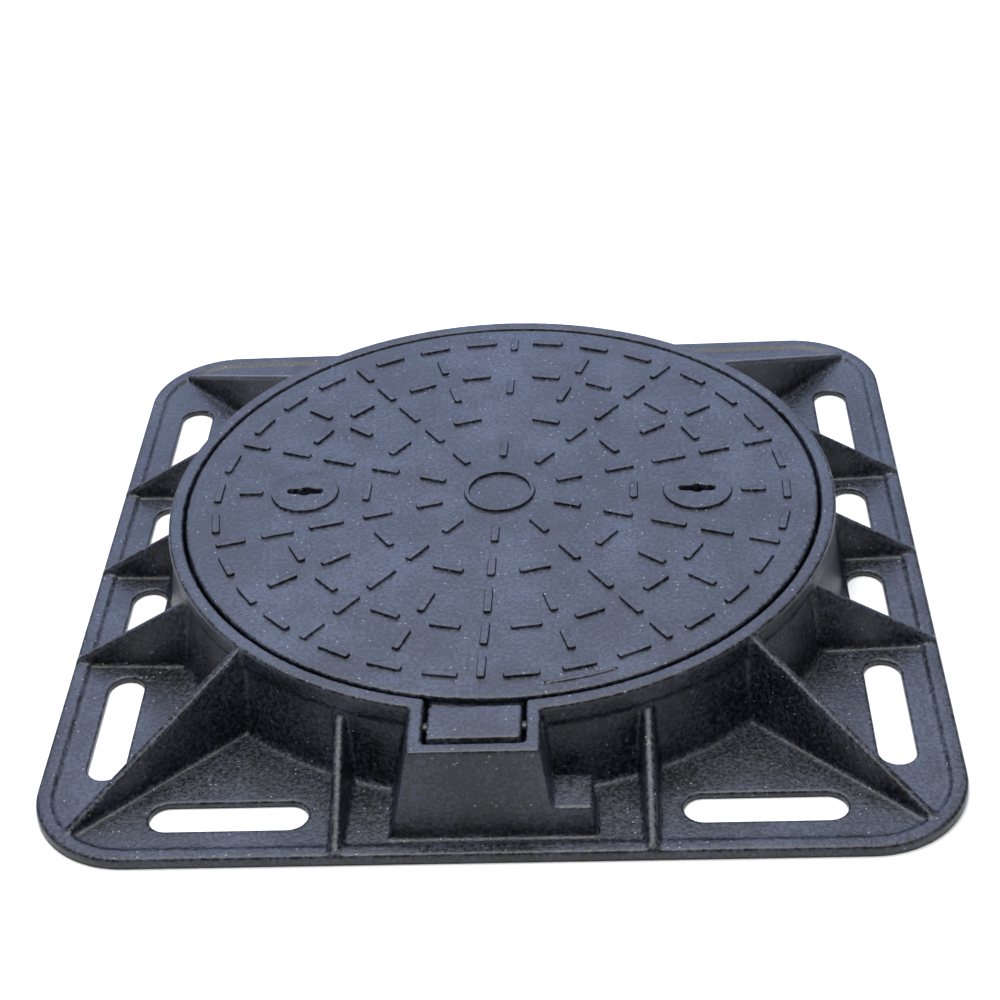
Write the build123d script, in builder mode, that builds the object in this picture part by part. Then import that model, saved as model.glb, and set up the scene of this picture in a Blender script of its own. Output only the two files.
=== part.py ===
from build123d import *
import os
from math import cos, radians, sin, sqrt, tan

# Hinged road manhole cover and its square-flanged frame, ductile iron.
# Millimetres. Origin: middle of the flange's underside. +Z up, +X right, hinge at -Y.

# --- driving dimensions -------------------------------------------------------------
flange_size = 850.0
flange_corner_r = 95.0
plate_top = 7.5
rim_top = 11.5
rim_width = 13.5
rim_slope = 3.5
rim_edge = 1.6

frame_top = 100.0
ring_inner_r = 322.7
ring_outer_r = 337.5
ring_band = 20.0
ring_edge = 1.5
wall_outer_r = 335.0
wall_foot_r = 346.0
wall_root = 5.5

clear_r = 300.0
seat_top = 50.0
seat_thickness = 12.0
gasket_inner_r = 305.0
gasket_outer_r = 316.0
gasket_top = 54.0

slot_line = 367.0
slot_width = 35.0
long_slot = 146.0
long_slot_at = 242.0
short_slot = 90.0
short_slot_at = 73.0

# A gusset's top is the height of its sloping crest where the gusset starts, inside the collar.
rib_thickness = 9.0
rib_draft = 4.0
rib_start = 282.7
side_rib_at = 144.0
side_rib_top = 94.0
corner_rib_top = 121.0
front_rib_at = 140.0
front_rib_top = 87.0

# --- hinge ----------------------------------------------------------------------------
hinge_x = -13.8
pivot_y = -345.0
pivot_z = 86.0
lug_width = 84.0
lug_front_y = -371.0
lug_back_y = -328.0
lug_tip_r = 29.5
pocket_width = 91.6
pocket_front_y = -377.5
pocket_floor = 50.0
housing_front_y = -389.5
housing_foot_y = -400.0
housing_left = -72.3
housing_right = 44.4
housing_left_foot = -91.9
housing_right_foot = 57.0
pin_r = 7.0
pin_clearance = 0.05
pin_left = -68.0
pin_right = 44.0

# --- cover ----------------------------------------------------------------------------
cover_r = 320.0
cover_top = frame_top
plate_under = 88.0
edge_land = 97.0
skirt_outer_r = 317.0
skirt_inner_r = 304.0
pattern_turn = -2.0
tread_height = 3.0
tread_width = 7.6
pad_r = 34.5
pad_at = 200.0
key_slot_length = 36.0
key_slot_width = 8.5
key_slot_middle = 14.0
cup_r = 29.0
cup_wall = 5.0
cup_floor = 56.0
hub_r = 46.0
web = 9.0
web_count = 10
sector = 360 / web_count
middle_ring_r = 150.0
ribs_low = 54.0
centre_ring_outer = 36.0
centre_ring_inner = 31.0
tread_corner = 1.6
tread_taper = 8.0
arc_r = 304.0
arc_width = 3.5
arc_from = -81.0
arc_sweep = 13.0
groove_floor = 90.0
lug_under = 64.0


def ring(inner, outer, low, high):
    """A plain ring about the origin, between two heights."""
    with BuildPart() as made:
        with BuildSketch(Plane.XY.offset(low)):
            Circle(outer)
            Circle(inner, mode=Mode.SUBTRACT)
        extrude(amount=high - low)
    return made.part


def cylinder(radius, low, high):
    """A solid disc about the origin, between two heights."""
    with BuildPart() as made:
        with BuildSketch(Plane.XY.offset(low)):
            Circle(radius)
        extrude(amount=high - low)
    return made.part


def save(piece, name):
    """Label a finished piece and write its STEP file."""
    piece.label = name
    export_step(piece, f"parts/{name}.step")
    return piece


os.makedirs("parts", exist_ok=True)

# --- plain discs that other pieces are trimmed with --------------------------------------
manhole = cylinder(ring_inner_r, 0, frame_top + 1)
beyond_skirt = ring(skirt_inner_r, flange_size, 0, frame_top)

# --- housing outline, used to trim the collar around it ----------------------------------
housing_back_y = -310.0
with BuildPart() as housing_block:
    with BuildSketch(Plane.XY.offset(plate_top)):
        with BuildLine():
            Polyline(
                (housing_left_foot, housing_foot_y),
                (housing_right_foot, housing_foot_y),
                (housing_right_foot, housing_back_y),
                (housing_left_foot, housing_back_y),
                close=True,
            )
        make_face()
    with BuildSketch(Plane.XY.offset(frame_top)):
        with BuildLine():
            Polyline(
                (housing_left, housing_front_y),
                (housing_right, housing_front_y),
                (housing_right, housing_back_y),
                (housing_left, housing_back_y),
                close=True,
            )
        make_face()
    loft(ruled=True)
housing_outline = housing_block.part

# --- base flange -----------------------------------------------------------------------
long_slots = [
    (sx * slot_line, sy * long_slot_at, 90) for sx in (-1, 1) for sy in (-1, 1)
] + [(sx * long_slot_at, sy * slot_line, 0) for sx in (-1, 1) for sy in (-1, 1)]
short_slots = [
    (sx * slot_line, sy * short_slot_at, 90) for sx in (-1, 1) for sy in (-1, 1)
] + [(sx * short_slot_at, slot_line, 0) for sx in (-1, 1)]

with BuildPart() as base_flange:
    with BuildSketch():
        RectangleRounded(flange_size, flange_size, flange_corner_r)
        Circle(ring_inner_r, mode=Mode.SUBTRACT)
        for x, y, turn in long_slots:
            with Locations(Location((x, y), turn)):
                SlotOverall(long_slot, slot_width, mode=Mode.SUBTRACT)
        for x, y, turn in short_slots:
            with Locations(Location((x, y), turn)):
                SlotOverall(short_slot, slot_width, mode=Mode.SUBTRACT)
    extrude(amount=plate_top)
save(base_flange.part, "base_flange")

# --- raised rim round the flange's edge ---------------------------------------------------
rim_inner = flange_size - 2 * rim_width
rim_inner_r = flange_corner_r - rim_width
with BuildPart() as flange_rim:
    with BuildSketch(Plane.XY.offset(plate_top)):
        RectangleRounded(flange_size, flange_size, flange_corner_r)
    extrude(amount=rim_top - plate_top)
    chamfer(flange_rim.faces().sort_by(Axis.Z)[-1].edges(), rim_edge)
    with BuildSketch(Plane.XY.offset(plate_top)):
        RectangleRounded(rim_inner - 2 * rim_slope, rim_inner - 2 * rim_slope, rim_inner_r - rim_slope)
    with BuildSketch(Plane.XY.offset(rim_top)):
        RectangleRounded(rim_inner, rim_inner, rim_inner_r)
    loft(mode=Mode.SUBTRACT)
save(flange_rim.part, "flange_rim")

# --- round collar: wall with a flared foot, and the thicker ring at its top -------------
ring_low = frame_top - ring_band
with BuildPart() as collar:
    with BuildSketch(Plane.XZ):
        with BuildLine():
            Line((ring_inner_r, plate_top), (wall_foot_r + wall_root, plate_top))
            RadiusArc((wall_foot_r + wall_root, plate_top), (wall_foot_r, plate_top + wall_root), wall_root)
            Line((wall_foot_r, plate_top + wall_root), (wall_outer_r, ring_low))
            Line((wall_outer_r, ring_low), (ring_inner_r, ring_low))
            Line((ring_inner_r, ring_low), (ring_inner_r, plate_top))
        make_face()
    revolve(axis=Axis.Z)
    add(housing_outline, mode=Mode.SUBTRACT)
save(collar.part, "collar")

with BuildPart() as collar_top_ring:
    with BuildSketch(Plane.XY.offset(ring_low)):
        Circle(ring_outer_r)
        Circle(ring_inner_r, mode=Mode.SUBTRACT)
    extrude(amount=ring_band)
    outer_edge = collar_top_ring.edges().group_by(Axis.Z)[-1].sort_by(SortBy.RADIUS)[-1]
    chamfer(outer_edge, ring_edge)
    add(housing_outline, mode=Mode.SUBTRACT)
save(collar_top_ring.part, "collar_top_ring")

# --- hinge housing: a drafted box with a pocket open to the cover, and the pin's bores ----
with BuildPart() as hinge_housing:
    add(housing_outline)
    add(manhole, mode=Mode.SUBTRACT)
    with BuildSketch(Plane.XY.offset(pocket_floor)):
        with BuildLine():
            Polyline(
                (hinge_x - pocket_width / 2, pocket_front_y),
                (hinge_x + pocket_width / 2, pocket_front_y),
                (hinge_x + pocket_width / 2, housing_back_y),
                (hinge_x - pocket_width / 2, housing_back_y),
                close=True,
            )
        make_face()
    extrude(amount=frame_top, mode=Mode.SUBTRACT)
    with BuildSketch(Plane.YZ.offset(pin_left - 0.5)):
        with Locations((pivot_y, pivot_z)):
            Circle(pin_r + pin_clearance)
    extrude(amount=flange_size / 4, mode=Mode.SUBTRACT)
save(hinge_housing.part, "hinge_housing")

# --- low block beside the housing's right foot --------------------------------------------
block_top = 38.0
block_right = 91.0
block_back_y = -352.0
draft_x = (housing_right_foot - housing_right) / (frame_top - plate_top)
draft_y = (housing_front_y - housing_foot_y) / (frame_top - plate_top)
block_rise = block_top - plate_top
with BuildPart() as hinge_side_block:
    with BuildSketch(Plane.XY.offset(plate_top)):
        with BuildLine():
            Polyline(
                (housing_left, housing_foot_y),
                (block_right, housing_foot_y),
                (block_right, block_back_y),
                (housing_left, block_back_y),
                close=True,
            )
        make_face()
    with BuildSketch(Plane.XY.offset(block_top)):
        with BuildLine():
            Polyline(
                (housing_left, housing_foot_y + draft_y * block_rise),
                (block_right - 2, housing_foot_y + draft_y * block_rise),
                (block_right - 2, block_back_y),
                (housing_left, block_back_y),
                close=True,
            )
        make_face()
    loft(ruled=True)
    add(housing_outline, mode=Mode.SUBTRACT)
    split(bisect_by=Plane.YZ.offset(hinge_x), keep=Keep.TOP)
    fillet(hinge_side_block.edges().group_by(Axis.Z)[-1].filter_by(Axis.X), 2.0)
save(hinge_side_block.part, "hinge_side_block")

# --- seat inside the collar, and the gasket on it -----------------------------------------
seat_low = seat_top - seat_thickness
seat_haunch = 14.0
with BuildPart() as seat_ledge:
    with BuildSketch(Plane.XZ):
        with BuildLine():
            Polyline(
                (clear_r, seat_low),
                (clear_r, seat_top),
                (ring_inner_r, seat_top),
                (ring_inner_r, seat_low - seat_haunch),
                close=True,
            )
        make_face()
    revolve(axis=Axis.Z)
save(seat_ledge.part, "seat_ledge")
save(ring(gasket_inner_r, gasket_outer_r, seat_top, gasket_top), "seat_gasket")

# --- gussets: drafted plates with a crest that slopes from the collar down to the rim ------
half = flange_size / 2
corner_reach = (half - flange_corner_r) * sqrt(2) + flange_corner_r
above_ring = cylinder(ring_outer_r, ring_low, 2 * frame_top)
gusset_trims = [manhole, collar.part, above_ring, flange_rim.part]


def gusset(toe, top, turn, shift=0.0):
    """One gusset standing on the flange, thicker at its foot, trimmed to the collar and the rim."""
    crest_half = rib_thickness / 2
    with BuildPart() as plate:
        for run, crest in ((rib_start, top), (toe, rim_top + 1.0)):
            foot_half = crest_half + (crest - plate_top) * tan(radians(rib_draft))
            with BuildSketch(Plane.YZ.offset(run)):
                with BuildLine():
                    Polyline(
                        (-foot_half, plate_top),
                        (foot_half, plate_top),
                        (crest_half, crest),
                        (-crest_half, crest),
                        close=True,
                    )
                make_face()
        loft(ruled=True)
        fillet(plate.edges().sort_by(SortBy.LENGTH)[-2:], 2.0)
    made = Location((0, 0, 0), (0, 0, turn)) * (Pos(0, shift, 0) * plate.part)
    for trim in gusset_trims:
        made = made - trim
    return made


def gussets(name, places):
    """A node of like gussets; each place is where its toe ends, its top, turn and side shift."""
    save(Compound(children=[gusset(*place) for place in places]), name)


edge_toe = half - rim_edge
corner_toe = corner_reach - rim_width - rim_edge
gussets("corner_gussets", [(corner_toe, corner_rib_top, 45 + 90 * n, 0) for n in range(4)])
gussets(
    "side_gussets",
    [(edge_toe, side_rib_top, turn, y) for turn in (0, 180) for y in (-side_rib_at, 0, side_rib_at)],
)
gussets("back_gussets", [(edge_toe, side_rib_top, 90, y) for y in (-side_rib_at, 0, side_rib_at)])
gussets("front_gussets", [(edge_toe, front_rib_top, 270, x) for x in (-front_rib_at, front_rib_at)])

# --- cover plate, with the two key slots; its edge draws in below, to swing clear of the ring ----
turned = Location((0, 0, 0), (0, 0, pattern_turn))


def key_slot():
    """Outline of a lifting key slot about its own middle."""
    with BuildSketch() as made:
        SlotOverall(key_slot_length, key_slot_width)
        Circle(key_slot_middle / 2)
    return made.sketch


pad_places = [turned * Location((side * pad_at, 0)) for side in (-1, 1)]
key_slots = [place * key_slot() for place in pad_places]

with BuildPart() as cover_plate:
    with BuildSketch(Plane.XZ):
        with BuildLine():
            Polyline(
                (0, plate_under),
                (skirt_outer_r, plate_under),
                (cover_r, edge_land),
                (cover_r, cover_top),
                (0, cover_top),
                close=True,
            )
        make_face()
    revolve(axis=Axis.Z)
    fillet(cover_plate.edges().group_by(Axis.Z)[-1].sort_by(SortBy.RADIUS)[-1], 1.0)
    with BuildSketch(Plane.XY.offset(plate_under)):
        for slot in key_slots:
            add(slot)
    extrude(amount=cover_top - plate_under, mode=Mode.SUBTRACT)
save(cover_plate.part, "cover_plate")

# --- skirt under the cover's edge, which sits on the gasket ---------------------------------
cover_skirt = ring(skirt_inner_r, skirt_outer_r, gasket_top, plate_under)
save(cover_skirt, "cover_skirt")

# --- stiffening under the plate: a hub, a middle ring, and webs that spread from the hub -------
save(ring(hub_r - web, hub_r, ribs_low, plate_under), "cover_hub")
middle_inner = middle_ring_r - web / 2
middle_outer = middle_ring_r + web / 2
save(ring(middle_inner, middle_outer, ribs_low, plate_under), "cover_middle_ring")

hub_disc = cylinder(hub_r, 0, frame_top)
middle_band = ring(middle_inner, middle_outer, 0, frame_top)
with BuildPart() as cover_webs:
    with BuildSketch(Plane.XY.offset(ribs_low)):
        with PolarLocations(skirt_inner_r / 2, web_count, start_angle=sector / 2 + pattern_turn):
            Rectangle(skirt_inner_r + web, web)
    extrude(amount=plate_under - ribs_low)
    for trim in (hub_disc, middle_band, beyond_skirt):
        add(trim, mode=Mode.SUBTRACT)
save(cover_webs.part, "cover_webs")

# --- closed key pockets under the two slots --------------------------------------------------
with BuildPart() as key_cup:
    with BuildSketch(Plane.XY.offset(cup_floor)):
        Circle(cup_r)
    extrude(amount=plate_under - cup_floor)
    with BuildSketch(Plane.XY.offset(cup_floor + cup_wall)):
        Circle(cup_r - cup_wall)
    extrude(amount=plate_under - cup_floor - cup_wall, mode=Mode.SUBTRACT)
save(Compound(children=[place * key_cup.part for place in pad_places]), "key_pockets")

# --- raised lifting pads round the key slots ---------------------------------------------------
with BuildPart() as pad:
    with BuildSketch(Plane.XY.offset(cover_top)):
        Circle(pad_r)
        add(key_slot(), mode=Mode.SUBTRACT)
    extrude(amount=tread_height)
    fillet(pad.edges().filter_by(GeomType.CIRCLE).group_by(Axis.Z)[-1].sort_by(SortBy.RADIUS)[-1], 1.2)
save(Compound(children=[place * pad.part for place in pad_places]), "lifting_pads")

# --- raised ring at the middle ------------------------------------------------------------------
with BuildPart() as centre_ring:
    with BuildSketch(Plane.XY.offset(cover_top)):
        Circle(centre_ring_outer)
        Circle(centre_ring_inner, mode=Mode.SUBTRACT)
    extrude(amount=tread_height)
    fillet(centre_ring.edges().group_by(Axis.Z)[-1], 1.0)
save(centre_ring.part, "centre_ring")

# --- tread: short raised bars in ten sectors --------------------------------------------------

def bar(length):
    """One tread bar lying along X about its own middle, a little narrower at the top."""
    with BuildPart() as made:
        with BuildSketch(Plane.XY.offset(cover_top)):
            RectangleRounded(length, tread_width, tread_corner)
        extrude(amount=tread_height, taper=tread_taper)
    return made.part


def bars(places):
    """Tread bars from places of radius, angle, length and whether the bar points outwards."""
    made = []
    for radius, angle, length, radial in places:
        spot = Location((radius * cos(radians(angle)), radius * sin(radians(angle)), 0))
        way = Location((0, 0, 0), (0, 0, angle if radial else angle + 90))
        made.append(turned * spot * way * bar(length))
    return made


spoke_bars = [(73.5, 27), (127.0, 30), (180.0, 36), (229.5, 32), (277.0, 30)]
back_spoke_bars = [(75.0, 27), (198.0, 30), (285.0, 24)]
spokes = []
for n in range(10):
    angle = 18 + sector * n
    run = back_spoke_bars if angle == 90 else spoke_bars
    spokes += [(radius, angle, length, True) for radius, length in run]
save(Compound(children=bars(spokes)), "tread_spokes")

edge_row = [(289.0, sector * n + step, 33, False) for n in range(10) for step in (-10.6, 0, 10.6)]
save(Compound(children=bars(edge_row)), "tread_edge_bars")

fill = [(136.0, sector * n, 30, False) for n in range(10)]
for n in range(10):
    if n in (0, 5):
        fill.append((256.0, sector * n, 24, True))
    else:
        fill += [(220.0, sector * n + step, 30, False) for step in (-8, 8)]
        fill += [(radius, sector * n, 30, True) for radius in (191.0, 250.0)]
save(Compound(children=bars(fill)), "tread_sector_bars")

# --- thin raised arc by the front edge ----------------------------------------------------------
with BuildPart() as edge_arc:
    with BuildSketch(Plane.XY.offset(cover_top)):
        with BuildLine():
            CenterArc((0, 0), arc_r, arc_from, arc_sweep)
        trace(line_width=arc_width)
    extrude(amount=tread_height / 2)
save(edge_arc.part, "edge_arc")

# --- hinge lug: an arm from the cover's edge to a rounded tip on the pin -------------------------
with BuildPart() as hinge_lug:
    with BuildSketch(Plane.YZ.offset(hinge_x - lug_width / 2)):
        with Locations((pivot_y, pivot_z)):
            Circle(lug_tip_r)
        with BuildLine():
            Polyline(
                (lug_front_y + 1, cover_top),
                (lug_back_y, cover_top),
                (lug_back_y, groove_floor),
                (housing_back_y, groove_floor),
                (housing_back_y, lug_under),
                (pivot_y, lug_under),
                close=True,
            )
        make_face()
        with Locations((pivot_y, cover_top + lug_tip_r)):
            Rectangle(4 * lug_tip_r, 2 * lug_tip_r, mode=Mode.SUBTRACT)
        with Locations((lug_back_y + lug_tip_r, groove_floor + lug_tip_r)):
            Rectangle(2 * lug_tip_r, 2 * lug_tip_r, mode=Mode.SUBTRACT)
        with Locations((pivot_y, pivot_z)):
            Circle(pin_r, mode=Mode.SUBTRACT)
    extrude(amount=lug_width)
    add(cover_plate.part, mode=Mode.SUBTRACT)
    add(cover_skirt, mode=Mode.SUBTRACT)
save(hinge_lug.part, "hinge_lug")

# --- hinge pin -------------------------------------------------------------------------------------
with BuildPart() as hinge_pin:
    with BuildSketch(Plane.YZ.offset(pin_left)):
        with Locations((pivot_y, pivot_z)):
            Circle(pin_r)
    extrude(amount=pin_right - pin_left)
    chamfer(hinge_pin.edges(), 1.0)
save(hinge_pin.part, "hinge_pin")
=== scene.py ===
import random
from math import cos, pi, radians, sin

import bmesh
import bpy
from mathutils import Matrix, Vector


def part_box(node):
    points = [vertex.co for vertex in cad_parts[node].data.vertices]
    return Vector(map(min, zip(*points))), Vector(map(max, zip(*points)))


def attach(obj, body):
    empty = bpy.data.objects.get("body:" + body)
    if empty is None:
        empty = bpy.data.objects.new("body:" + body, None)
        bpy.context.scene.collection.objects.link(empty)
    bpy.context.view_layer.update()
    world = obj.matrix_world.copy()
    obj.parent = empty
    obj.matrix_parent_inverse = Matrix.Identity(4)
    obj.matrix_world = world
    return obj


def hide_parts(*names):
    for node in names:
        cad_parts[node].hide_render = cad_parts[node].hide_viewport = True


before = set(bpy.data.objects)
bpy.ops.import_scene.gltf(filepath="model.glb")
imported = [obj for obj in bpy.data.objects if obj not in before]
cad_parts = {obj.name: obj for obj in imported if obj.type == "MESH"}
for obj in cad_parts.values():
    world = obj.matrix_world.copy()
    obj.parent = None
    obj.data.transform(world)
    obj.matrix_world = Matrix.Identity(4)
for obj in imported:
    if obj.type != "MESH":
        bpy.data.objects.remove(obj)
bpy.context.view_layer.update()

# A hinged road manhole cover in its square frame, sand-cast in ductile iron and dipped in black
# bitumen paint. Blender works in metres; MM turns the drawing's millimetres into them.
MM = 0.001


# --- small tools ---------------------------------------------------------------------------
def linear(hex_colour):
    """A colour given as sRGB hex, as the linear values that shaders take."""
    parts = [int(hex_colour[i:i + 2], 16) / 255 for i in (1, 3, 5)]
    return [p / 12.92 if p <= 0.04045 else ((p + 0.055) / 1.055) ** 2.4 for p in parts] + [1.0]


def add_node(tree, kind, settings=None, inputs=None):
    """Add a shader node with its settings; inputs maps a socket to a value or to an output."""
    made = tree.nodes.new(kind)
    for name, value in (settings or {}).items():
        setattr(made, name, value)
    for name, value in (inputs or {}).items():
        socket = made.inputs[name]
        if isinstance(value, bpy.types.NodeSocket):
            tree.links.new(value, socket)
        else:
            socket.default_value = value
    return made


def new_object(name, mesh):
    """A new object in the scene, at the origin."""
    made = bpy.data.objects.new(name, mesh)
    bpy.context.collection.objects.link(made)
    return made


def mesh_from(bm, name):
    """Turn a bmesh into a mesh datablock, smooth shaded."""
    bmesh.ops.recalc_face_normals(bm, faces=bm.faces)
    mesh = bpy.data.meshes.new(name)
    bm.to_mesh(mesh)
    bm.free()
    mesh.shade_smooth()
    return mesh


def bake_modifiers(obj):
    """Turn an object's modifiers into its mesh."""
    graph = bpy.context.evaluated_depsgraph_get()
    baked = bpy.data.meshes.new_from_object(obj.evaluated_get(graph))
    obj.modifiers.clear()
    obj.data = baked


def finish_piece(obj, body, slot, material, *nodes):
    """Dress a piece, make it ride on its body and stand for its CAD nodes."""
    obj.data.materials.clear()
    obj.data.materials.append(material)
    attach(obj, body)
    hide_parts(*nodes)


# --- finishes --------------------------------------------------------------------------------
def bitumen_painted_iron(name, dark, light, roughness, grain):
    """Black bitumen paint on sand-cast ductile iron: a thin, semi-gloss, faintly blue black film
    that follows the sand's grain, with pale specks painted into the colour as glints of light."""
    made = bpy.data.materials.new(name)
    made.use_nodes = True
    tree = made.node_tree
    tree.nodes.clear()
    place = add_node(tree, "ShaderNodeTexCoord").outputs["Object"]
    # Cloudy change of tone where the dip ran thicker, about 70 mm across.
    clouds = add_node(tree, "ShaderNodeTexNoise", inputs={
        "Vector": place, "Scale": 1 / (70 * MM), "Detail": 5.0, "Roughness": 0.62})
    # Sand grain is about 0.5 mm; drawn at 4 mm, the finest that shows on a piece this large.
    sand = add_node(tree, "ShaderNodeTexNoise", inputs={
        "Vector": place, "Scale": 1 / (4 * MM), "Detail": 3.0, "Roughness": 0.75})
    # Runs and sags of the wet film, about 14 mm across.
    sags = add_node(tree, "ShaderNodeTexNoise", inputs={
        "Vector": place, "Scale": 1 / (14 * MM), "Detail": 2.0, "Roughness": 0.5})
    # Painted glints: pale specks one to two millimetres across, in about a quarter of the cells, which
    # are 6 mm across.
    glint_cells = add_node(tree, "ShaderNodeTexVoronoi", inputs={
        "Vector": place, "Scale": 1 / (6 * MM), "Randomness": 1.0})
    tone = add_node(tree, "ShaderNodeMapRange", inputs={
        "Value": clouds.outputs["Fac"], "From Min": 0.36, "From Max": 0.66, "To Max": 0.5})
    speckle = add_node(tree, "ShaderNodeMapRange", inputs={
        "Value": sand.outputs["Fac"], "From Min": 0.38, "From Max": 0.66, "To Min": -0.4, "To Max": 0.7})
    mixed = add_node(tree, "ShaderNodeMath", {"operation": "ADD", "use_clamp": True})
    tree.links.new(tone.outputs["Result"], mixed.inputs[0])
    tree.links.new(speckle.outputs["Result"], mixed.inputs[1])
    colour = add_node(tree, "ShaderNodeMix", {"data_type": "RGBA"})
    tree.links.new(mixed.outputs[0], colour.inputs[0])
    colour.inputs[6].default_value = linear(dark)
    colour.inputs[7].default_value = linear(light)
    painted_glint_spot = add_node(tree, "ShaderNodeMapRange", inputs={
        "Value": glint_cells.outputs["Distance"], "From Min": 0.10, "From Max": 0.16,
        "To Min": 1.0, "To Max": 0.0})
    chosen = add_node(tree, "ShaderNodeMath", {"operation": "GREATER_THAN"})
    tree.links.new(glint_cells.outputs["Color"], chosen.inputs[0])
    chosen.inputs[1].default_value = 0.72
    painted_glint_mask = add_node(tree, "ShaderNodeMath", {"operation": "MULTIPLY"})
    tree.links.new(painted_glint_spot.outputs["Result"], painted_glint_mask.inputs[0])
    tree.links.new(chosen.outputs[0], painted_glint_mask.inputs[1])
    # The specks get a pale grey base colour: painted highlights standing in for glints on the paint.
    painted_glint_colour = add_node(tree, "ShaderNodeMix", {"data_type": "RGBA"})
    tree.links.new(painted_glint_mask.outputs[0], painted_glint_colour.inputs[0])
    tree.links.new(colour.outputs[2], painted_glint_colour.inputs[6])
    painted_glint_colour.inputs[7].default_value = linear("#8b909c")
    gloss = add_node(tree, "ShaderNodeMapRange", inputs={
        "Value": sand.outputs["Fac"], "From Min": 0.3, "From Max": 0.7,
        "To Min": roughness - 0.10, "To Max": roughness + 0.12})
    waves = add_node(tree, "ShaderNodeBump", inputs={
        "Strength": 0.5, "Distance": 1.0 * MM, "Height": sags.outputs["Fac"]})
    grit = add_node(tree, "ShaderNodeBump", inputs={
        "Strength": grain, "Distance": 1.2 * MM, "Height": sand.outputs["Fac"],
        "Normal": waves.outputs["Normal"]})
    paint = add_node(tree, "ShaderNodeBsdfPrincipled", inputs={
        "Base Color": painted_glint_colour.outputs[2], "Roughness": gloss.outputs["Result"],
        "IOR": 1.5, "Specular IOR Level": 0.45, "Normal": grit.outputs["Normal"]})
    out = add_node(tree, "ShaderNodeOutputMaterial")
    tree.links.new(paint.outputs[0], out.inputs["Surface"])
    return made


def moulded_rubber():
    """Extruded EPDM rubber: matt black, a little dusty."""
    made = bpy.data.materials.new("moulded_epdm_rubber")
    made.use_nodes = True
    tree = made.node_tree
    paint = tree.nodes["Principled BSDF"]
    place = add_node(tree, "ShaderNodeTexCoord").outputs["Object"]
    dust = add_node(tree, "ShaderNodeTexNoise", inputs={
        "Vector": place, "Scale": 1 / (6 * MM), "Detail": 4.0, "Roughness": 0.6})
    ramp = add_node(tree, "ShaderNodeValToRGB", inputs={"Fac": dust.outputs["Fac"]})
    ramp.color_ramp.elements[0].color = linear("#141414")
    ramp.color_ramp.elements[1].color = linear("#232323")
    skin = add_node(tree, "ShaderNodeBump", inputs={
        "Strength": 0.3, "Distance": 0.2 * MM, "Height": dust.outputs["Fac"]})
    tree.links.new(ramp.outputs["Color"], paint.inputs["Base Color"])
    tree.links.new(skin.outputs["Normal"], paint.inputs["Normal"])
    paint.inputs["Roughness"].default_value = 0.82
    return made


def oiled_bar_steel():
    """A plain steel bar, dark with oil, with fine lines along it."""
    made = bpy.data.materials.new("oiled_bar_steel")
    made.use_nodes = True
    tree = made.node_tree
    paint = tree.nodes["Principled BSDF"]
    place = add_node(tree, "ShaderNodeTexCoord").outputs["Object"]
    along = add_node(tree, "ShaderNodeMapping", inputs={"Vector": place, "Scale": (0.05, 1.0, 1.0)})
    lines = add_node(tree, "ShaderNodeTexNoise", inputs={
        "Vector": along.outputs["Vector"], "Scale": 1 / (0.6 * MM), "Detail": 3.0})
    ramp = add_node(tree, "ShaderNodeValToRGB", inputs={"Fac": lines.outputs["Fac"]})
    ramp.color_ramp.elements[0].color = linear("#1f1d1b")
    ramp.color_ramp.elements[1].color = linear("#47443f")
    scratch = add_node(tree, "ShaderNodeBump", inputs={
        "Strength": 0.25, "Distance": 0.1 * MM, "Height": lines.outputs["Fac"]})
    tree.links.new(ramp.outputs["Color"], paint.inputs["Base Color"])
    tree.links.new(scratch.outputs["Normal"], paint.inputs["Normal"])
    paint.inputs["Metallic"].default_value = 1.0
    paint.inputs["Roughness"].default_value = 0.4
    return made


def pale_paper():
    """Seamless white studio paper."""
    made = bpy.data.materials.new("studio_paper")
    made.use_nodes = True
    paint = made.node_tree.nodes["Principled BSDF"]
    paint.inputs["Base Color"].default_value = linear("#f2f3f5")
    paint.inputs["Roughness"].default_value = 0.9
    return made


frame_paint = bitumen_painted_iron("bitumen_paint_on_frame_casting", "#08090c", "#3c4250", 0.38, 0.6)
cover_paint = bitumen_painted_iron("bitumen_paint_on_cover_casting", "#08090d", "#3f4656", 0.40, 0.6)
rubber = moulded_rubber()
steel = oiled_bar_steel()


# --- castings: one fused skin over a casting's CAD nodes, with the roots and edges of a real one ---
def add_modifier(obj, kind, **settings):
    """Add a modifier with its settings."""
    made = obj.modifiers.new(kind.lower(), kind)
    for name, value in settings.items():
        setattr(made, name, value)


def casting(name, nodes, voxel, root, edge, share):
    """Fuse CAD nodes into one skin: root is the fillet in its inner corners and edge the rounding
    of its outer ones, both in mm; share is how much of the mesh is kept."""
    bm = bmesh.new()
    for part_name in nodes:
        bm.from_mesh(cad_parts[part_name].data)
    obj = new_object(name, mesh_from(bm, name))
    fuse = {"mode": "VOXEL", "voxel_size": voxel * MM, "use_smooth_shade": True}
    add_modifier(obj, "REMESH", **fuse)
    add_modifier(obj, "DISPLACE", strength=root * MM, mid_level=0.0)
    add_modifier(obj, "REMESH", **fuse)
    add_modifier(obj, "DISPLACE", strength=-(root + edge) * MM, mid_level=0.0)
    add_modifier(obj, "REMESH", **fuse)
    add_modifier(obj, "DISPLACE", strength=edge * MM, mid_level=0.0)
    add_modifier(obj, "SMOOTH", factor=0.5, iterations=2)
    add_modifier(obj, "DECIMATE", ratio=share)
    bake_modifiers(obj)
    return obj


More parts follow.
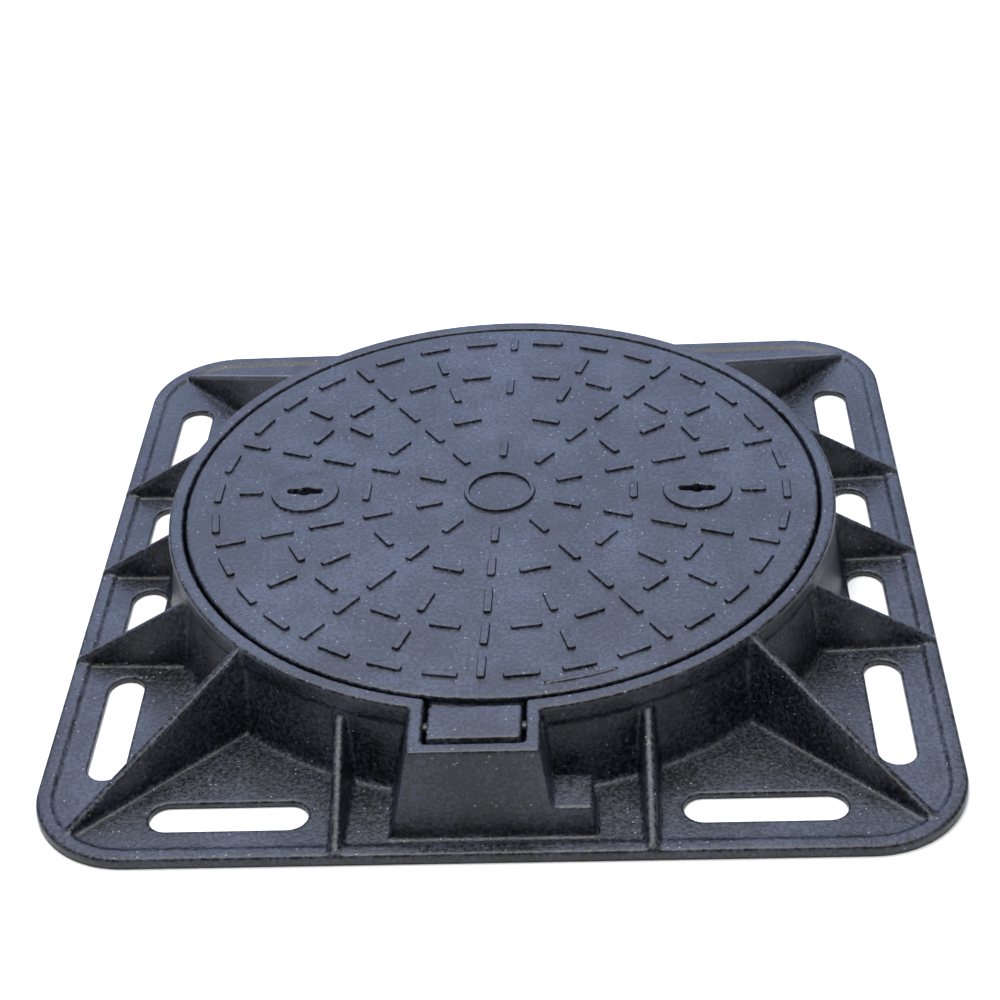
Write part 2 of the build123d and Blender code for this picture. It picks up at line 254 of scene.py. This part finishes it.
frame_nodes = (
    "base_flange", "flange_rim", "collar", "collar_top_ring", "seat_ledge", "corner_gussets",
    "side_gussets", "back_gussets", "front_gussets", "hinge_housing", "hinge_side_block",
)
cover_nodes = (
    "cover_plate", "cover_skirt", "cover_hub", "cover_middle_ring", "cover_webs", "key_pockets",
    "hinge_lug",
)
voxel = 1.5
frame_casting = casting("frame_casting", frame_nodes, voxel, 1.6, 0.5, 0.22)
finish_piece(frame_casting, "frame", "frame_iron", frame_paint, *frame_nodes)
cover_casting = casting("cover_casting", cover_nodes, voxel, 1.2, 0.4, 0.3)
finish_piece(cover_casting, "cover", "cover_iron", cover_paint, *cover_nodes)


def cover_detail(name, bm, node_name):
    """A raised mesh piece of the cover casting, standing for one CAD node."""
    finish_piece(new_object(name, mesh_from(bm, name)), "cover", "cover_iron", cover_paint, node_name)


# --- raised pattern on the cover, with radii and lengths in mm -------------------------------------
cover_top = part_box("cover_plate")[1][2]
tread_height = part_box("tread_spokes")[1][2] - cover_top
pattern_turn = radians(-2)
tread_width = 7.6 * MM
# From the plate upwards: how far each loop stands outside the drawn outline, and its height as a
# share of the tread's. The first loop is sunk in the plate and the next two are the root.
tread_rise = (
    (0.7, -0.15), (0.35, 0.04), (0.1, 0.18), (-0.1, 0.6), (-0.2, 0.86), (-0.42, 0.97), (-0.85, 1.0),
)
wobble = random.Random(850)


def rounded_box_loop(half_length, half_width, corner):
    """Points round a rectangle with rounded corners, about the origin."""
    loop = []
    steps = 5
    for quarter in range(4):
        sign_x = 1 if quarter in (0, 3) else -1
        sign_y = 1 if quarter in (0, 1) else -1
        for step in range(steps + 1):
            angle = pi / 2 * (quarter + step / steps)
            loop.append((
                sign_x * (half_length - corner) + corner * cos(angle),
                sign_y * (half_width - corner) + corner * sin(angle),
            ))
    return loop


def skin_loops(bm, loops, close=False):
    """Join loops of points, all with the same count, by quads; the last may be capped."""
    rings = [[bm.verts.new(point) for point in loop] for loop in loops]
    count = len(rings[0])
    for low, high in zip(rings, rings[1:]):
        for i in range(count):
            j = (i + 1) % count
            bm.faces.new((low[i], low[j], high[j], high[i]))
    if close:
        bm.faces.new(rings[-1])


def tread_bar(bm, radius, angle, length, radial):
    """One cast bar of the tread: radius and length in mm, angle in degrees from the right."""
    angle = radians(angle) + pattern_turn
    way = (angle if radial else angle + pi / 2) + radians(wobble.uniform(-0.8, 0.8))
    height = tread_height * wobble.uniform(0.9, 1.0)
    half_length = length * MM / 2 + wobble.uniform(-0.5, 0.4) * MM
    place = Matrix.Translation((radius * MM * cos(angle), radius * MM * sin(angle), cover_top))
    place = place @ Matrix.Rotation(way, 4, "Z")
    loops = []
    for grow, rise in tread_rise:
        outline = rounded_box_loop(
            half_length + grow * MM, tread_width / 2 + grow * MM, (2.2 + grow) * MM)
        loops.append([place @ Vector((x, y, rise * height)) for x, y in outline])
    skin_loops(bm, loops, close=True)


def tread(name, node_name, bars):
    """A group of tread bars, each given by radius, angle, length and whether it points outwards."""
    bm = bmesh.new()
    for bar in bars:
        tread_bar(bm, *bar)
    cover_detail(name, bm, node_name)


sectors = 10
step = 360 // sectors
spoke_run = ((73.5, 27), (127, 30), (180, 36), (229.5, 32), (277, 30))
back_spoke_run = ((75, 27), (198, 30), (285, 24))
spokes = []
for n in range(sectors):
    run = back_spoke_run if n == 2 else spoke_run
    spokes += [(radius, 18 + step * n, length, True) for radius, length in run]
tread("spoke_bars", "tread_spokes", spokes)

edge_row = [(289, step * n + turn, 33, False) for n in range(sectors) for turn in (-10.6, 0, 10.6)]
tread("edge_bars", "tread_edge_bars", edge_row)

fill = [(136, step * n, 30, False) for n in range(sectors)]
for n in range(sectors):
    if n in (0, 5):
        fill.append((256, step * n, 24, True))
    else:
        fill += [(220, step * n + turn, 30, False) for turn in (-8, 8)]
        fill += [(radius, step * n, 30, True) for radius in (191, 250)]
tread("sector_bars", "tread_sector_bars", fill)


def turned_ring(bm, profile, count=160):
    """Turn a closed profile of radius and height, in metres, about the cover's middle."""
    rings = []
    for i in range(count):
        angle = 2 * pi * i / count
        rings.append([bm.verts.new((r * cos(angle), r * sin(angle), z)) for r, z in profile])
    for i in range(count):
        this, after = rings[i], rings[(i + 1) % count]
        for j in range(len(profile)):
            k = (j + 1) % len(profile)
            bm.faces.new((this[j], after[j], after[k], this[k]))


def raised_profile(inner, outer):
    """Section of a raised cast band between two radii, given in mm."""
    rise = [(grow * MM, share * tread_height + cover_top) for grow, share in tread_rise]
    outside = [(outer * MM + grow, z) for grow, z in rise]
    inside = [(inner * MM - grow, z) for grow, z in reversed(rise)]
    return outside + inside


bm = bmesh.new()
turned_ring(bm, raised_profile(31, 36), count=96)
cover_detail("middle_band", bm, "centre_ring")


pad_at = 200
pad_radius = 34.5
key_slot_half_width = 4.05
key_slot_straight = 13.75
key_slot_middle_radius = 6.8
# As tread_rise, for the slot's edge: from the pad's top, over its rounded lip and down the wall.
key_slot_fall = ((2.2, 1.0), (1.2, 0.97), (0.5, 0.8), (0.1, 0.4), (0.0, -0.5), (-0.1, -4.2))


def key_slot_radius(angle, grow):
    """How far the key slot's edge is from its middle, in mm: a long slot with a round middle."""
    half_width = key_slot_half_width + grow
    x, y = abs(cos(angle)), abs(sin(angle))
    if y > 1e-6 and half_width / y * x <= key_slot_straight:
        edge = half_width / y
    else:
        edge = key_slot_straight * x + max(half_width ** 2 - (key_slot_straight * y) ** 2, 0) ** 0.5
    return max(edge, key_slot_middle_radius + grow)


def lifting_pad(bm, side):
    """A raised disc with the key slot through it and through the plate under it."""
    middle = Matrix.Rotation(pattern_turn, 4, "Z")
    middle = middle @ Matrix.Translation((side * pad_at * MM, 0, cover_top))
    angles = [2 * pi * i / 144 for i in range(144)]

    def loop(radius_at, share):
        """One loop about the pad's middle: its radius in mm at each angle, at one height."""
        points = []
        for angle in angles:
            radius = radius_at(angle) * MM
            height = share * tread_height
            points.append(middle @ Vector((radius * cos(angle), radius * sin(angle), height)))
        return points

    loops = [loop(lambda angle: pad_radius + grow, share) for grow, share in tread_rise]
    loops += [loop(lambda angle: key_slot_radius(angle, grow), share) for grow, share in key_slot_fall]
    skin_loops(bm, loops)


bm = bmesh.new()
for side in (-1, 1):
    lifting_pad(bm, side)
cover_detail("key_pads", bm, "lifting_pads")

# The thin arc near the front edge; its ends fade into the plate over three steps.
arc_radius, arc_half_width, arc_height = 304 * MM, 1.75 * MM, tread_height / 2
arc_start, arc_sweep, arc_steps = -81, 13, 24
arc_section = ((-1.4, -0.2), (-1.0, 0.5), (-0.5, 0.95), (0.5, 0.95), (1.0, 0.5), (1.4, -0.2))
bm = bmesh.new()
sections = []
for i in range(arc_steps + 1):
    angle = radians(arc_start + arc_sweep * i / arc_steps)
    taper = min(1, 0.3 + i / 3, 0.3 + (arc_steps - i) / 3)
    section = []
    for out, up in arc_section:
        radius = arc_radius + out * arc_half_width
        height = cover_top + up * arc_height * taper
        section.append(bm.verts.new((radius * cos(angle), radius * sin(angle), height)))
    sections.append(section)
for near, far in zip(sections, sections[1:]):
    for j in range(len(arc_section) - 1):
        bm.faces.new((near[j], near[j + 1], far[j + 1], far[j]))
for last in (sections[0], sections[-1]):
    bm.faces.new(last)
cover_detail("front_arc", bm, "edge_arc")

# --- gasket: a moulded strip with two lips, and the pin -------------------------------------------
low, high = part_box("seat_gasket")
seat_z, gasket_z, gasket_r = low[2], high[2], high[0]
gasket_width = 11 * MM
gasket_height = gasket_z - seat_z
# The strip's section, as shares of its width inwards and of its height upwards.
lips = (
    (0, 0), (0, 0.7), (-0.08, 0.9), (-0.2, 1.0), (-0.32, 0.9), (-0.4, 0.62), (-0.5, 0.55),
    (-0.6, 0.62), (-0.68, 0.9), (-0.8, 1.0), (-0.92, 0.9), (-1, 0.7), (-1, 0),
)
bm = bmesh.new()
turned_ring(bm, [(gasket_r + out * gasket_width, seat_z + up * gasket_height) for out, up in lips])
gasket_strip = new_object("gasket_strip", mesh_from(bm, "gasket_strip"))
finish_piece(gasket_strip, "frame", "gasket_rubber", rubber, "seat_gasket")

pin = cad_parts["hinge_pin"]
pin.data.materials.clear()
pin.data.materials.append(steel)


# --- studio: pale floor, soft lights behind and above, a strip over the front edge, and the camera ---
floor_mesh = bpy.data.meshes.new("floor")
reach = 6.0
floor_corners = [(-reach, -reach, 0), (reach, -reach, 0), (reach, reach, 0), (-reach, reach, 0)]
floor_mesh.from_pydata(floor_corners, [], [(0, 1, 2, 3)])
floor_mesh.materials.append(pale_paper())
floor = new_object("floor", floor_mesh)


def softbox(name, place, target, width, height, watts, colour):
    """A rectangular area light at place, facing target."""
    lamp = bpy.data.lights.new(name, "AREA")
    lamp.shape = "RECTANGLE"
    lamp.size = width
    lamp.size_y = height
    lamp.energy = watts
    lamp.color = linear(colour)[:3]
    made = new_object(name, lamp)
    made.location = place
    made.rotation_euler = (Vector(target) - Vector(place)).to_track_quat("-Z", "Y").to_euler()


softbox("back_softbox", (-0.4, 3.2, 3.0), (0, 0, 0.1), 4.4, 4.0, 190, "#c2d2ff")
softbox("top_softbox", (0, 0.2, 3.6), (0, 0, 0), 3.6, 3.6, 130, "#fffdf8")
softbox("front_strip", (-0.2, -0.4, 3.2), (0, -0.2, 0.05), 2.0, 0.35, 60, "#ffffff")

world = bpy.data.worlds.new("studio")
world.use_nodes = True
world.node_tree.nodes["Background"].inputs["Color"].default_value = linear("#f4f6fa")
world.node_tree.nodes["Background"].inputs["Strength"].default_value = 0.15
bpy.context.scene.world = world
bpy.context.scene.view_settings.view_transform = "Standard"

# The camera stands in front, a little to the right, looking down at about 35 degrees.
camera_at = Vector((0.108, -1.718, 1.309))
camera_yaw = radians(-4.62)
camera_dip = radians(35.26)
camera_roll = radians(-4.33)
ahead = Vector((sin(camera_yaw) * cos(camera_dip), cos(camera_yaw) * cos(camera_dip), -sin(camera_dip)))
side = Vector((cos(camera_yaw), -sin(camera_yaw), 0))
above = side.cross(ahead)
right = cos(camera_roll) * side + sin(camera_roll) * above
top = -sin(camera_roll) * side + cos(camera_roll) * above
lens = bpy.data.cameras.new("camera")
lens.sensor_width = 36.0
lens.lens = 74.45
lens.shift_x = 0.03
camera = new_object("camera", lens)
camera.matrix_world = Matrix.Translation(camera_at) @ Matrix((right, top, -ahead)).transposed().to_4x4()
bpy.context.scene.camera = camera
